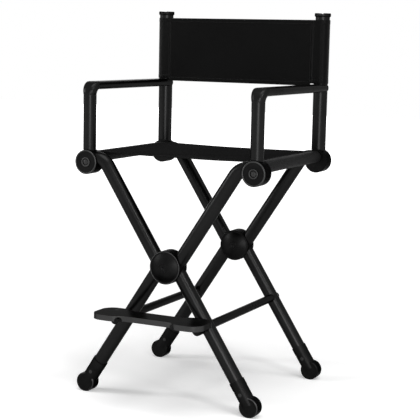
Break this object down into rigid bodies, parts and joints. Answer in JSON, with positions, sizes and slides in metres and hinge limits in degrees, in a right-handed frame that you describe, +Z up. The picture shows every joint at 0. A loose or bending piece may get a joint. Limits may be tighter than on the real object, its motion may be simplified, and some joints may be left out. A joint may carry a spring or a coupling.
{
  "type": "folding makeup chair",
  "caption": "Tall folding makeup chair with crossed tube legs, cloth seat and back, flat arms and a footrest that swings up.",
  "frame": {"origin": "on the floor, under the middle of the chair's overall box, footrest included", "axes": "+Z up, +X towards the right of the picture's front view, -Y towards where the sitter faces (the footrest side)"},
  "size_m": [0.629, 0.6721, 1.177],
  "materials": {
    "black_paint": "satin black powder coat",
    "footrest_paint": "satin dark grey powder coat",
    "black_plastic": "fine matte moulding",
    "dark_steel": "blackened",
    "black_cloth": "tight canvas weave"
  },
  "bodies": {
    "legs_a": {"leg_a_front_upper": "black_paint", "leg_a_front_lower": "black_paint", "leg_a_rear_upper": "black_paint", "leg_a_rear_lower": "black_paint", "fold_hub_a_front": "black_plastic", "fold_hub_a_rear": "black_plastic", "fold_covers_a": "black_plastic", "fold_pins": "dark_steel", "knuckle_a_front": "black_plastic", "knuckle_a_rear": "black_plastic", "knuckle_covers_a": "black_plastic", "knuckle_bolts_a": "dark_steel", "foot_a_front": "black_plastic", "foot_a_rear": "black_plastic", "foot_rivets_a": "dark_steel", "low_bar_a": "black_paint", "bar_plugs_a": "black_plastic"},
    "legs_b": {"leg_b_front_upper": "black_paint", "leg_b_front_lower": "black_paint", "leg_b_rear_upper": "black_paint", "leg_b_rear_lower": "black_paint", "fold_hub_b_front": "black_plastic", "fold_hub_b_rear": "black_plastic", "fold_covers_b": "black_plastic", "knuckle_b_front": "black_plastic", "knuckle_b_rear": "black_plastic", "knuckle_covers_b": "black_plastic", "knuckle_bolts_b": "dark_steel", "foot_b_front": "black_plastic", "foot_b_rear": "black_plastic", "foot_rivets_b": "dark_steel", "low_bar_b": "black_paint", "bar_plugs_b": "black_plastic"},
    "side_left": {"side_drum_left_front": "black_plastic", "side_drum_left_rear": "black_plastic", "arm_left": "black_paint", "arm_insert_left": "black_plastic", "arm_screw_left": "dark_steel", "back_post_left": "black_paint", "post_cap_left": "black_plastic", "seat_rail_left": "black_paint", "seat_sleeve_left": "black_cloth", "back_sleeve_left": "black_cloth", "seat_cloth": "black_cloth", "back_cloth": "black_cloth"},
    "side_right": {"side_drum_right_front": "black_plastic", "side_drum_right_rear": "black_plastic", "arm_right": "black_paint", "arm_insert_right": "black_plastic", "arm_screw_right": "dark_steel", "back_post_right": "black_paint", "post_cap_right": "black_plastic", "seat_rail_right": "black_paint", "seat_sleeve_right": "black_cloth", "back_sleeve_right": "black_cloth"},
    "footrest": {"footrest_plate": "footrest_paint", "footrest_clip": "black_plastic", "footrest_saddle": "black_plastic", "footrest_rivets": "dark_steel"}
  },
  "joints": [
    {"name": "fold", "type": "hinge", "parent": "legs_a", "child": "legs_b", "pos_m": [0, 0.058, 0.4173], "axis": [0, -1, 0], "range_deg": [0, 62], "deforming": ["seat_cloth", "back_cloth"]},
    {"name": "side_left_swing", "type": "hinge", "parent": "legs_a", "child": "side_left", "pos_m": [-0.2775, 0.058, 0.7137], "axis": [0, -1, 0], "range_deg": [0, 31]},
    {"name": "side_right_swing", "type": "hinge", "parent": "legs_b", "child": "side_right", "pos_m": [0.2775, 0.058, 0.7137], "axis": [0, 1, 0], "range_deg": [0, 31]},
    {"name": "footrest_lift", "type": "hinge", "parent": "legs_a", "child": "footrest", "pos_m": [0.13563, -0.242, 0.2542], "axis": [0, 1, 0], "range_deg": [0, 57]}
  ],
  "couplings": [
    {"joint": "side_left_swing", "follows": "fold", "ratio": 0.5},
    {"joint": "side_right_swing", "follows": "fold", "ratio": 0.5}
  ]
}
